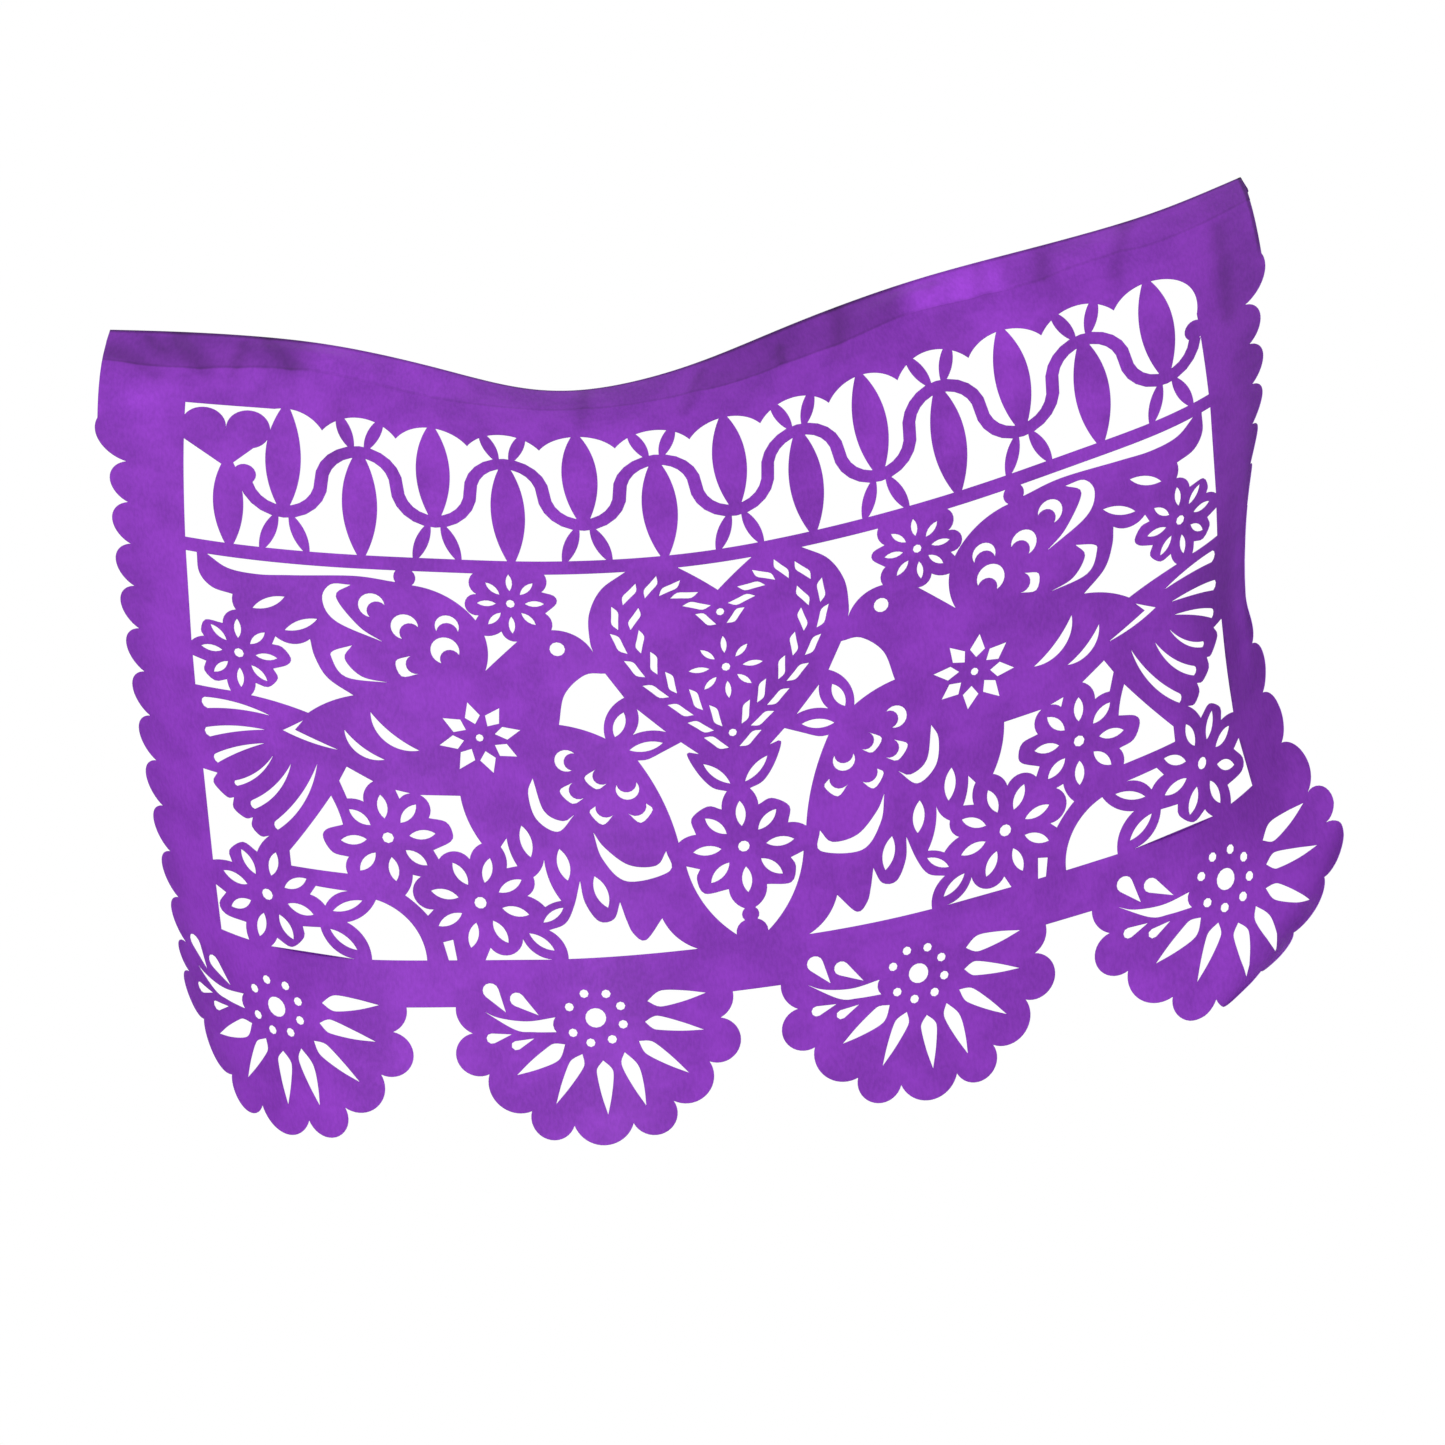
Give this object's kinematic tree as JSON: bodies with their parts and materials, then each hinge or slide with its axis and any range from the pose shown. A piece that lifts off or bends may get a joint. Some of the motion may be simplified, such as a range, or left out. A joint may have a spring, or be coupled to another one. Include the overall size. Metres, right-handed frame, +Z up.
{
  "type": "papel picado banner",
  "caption": "Hanging panel of cut tissue paper with facing doves, a heart, flowers, side scallops and four round petals.",
  "frame": {"origin": "middle of the hem sleeve, 8 mm below the top fold, where a string passes through", "axes": "+X across the panel to the right as seen from the front, +Z up, +Y away from the viewer; the panel hangs as in the picture"},
  "size_m": [0.4079, 0.1564, 0.3117],
  "materials": {
    "tissue_paper": "dyed purple tissue paper with a soft sheen"
  },
  "bodies": {
    "root": {"paper_panel": "tissue_paper"}
  },
  "joints": []
}
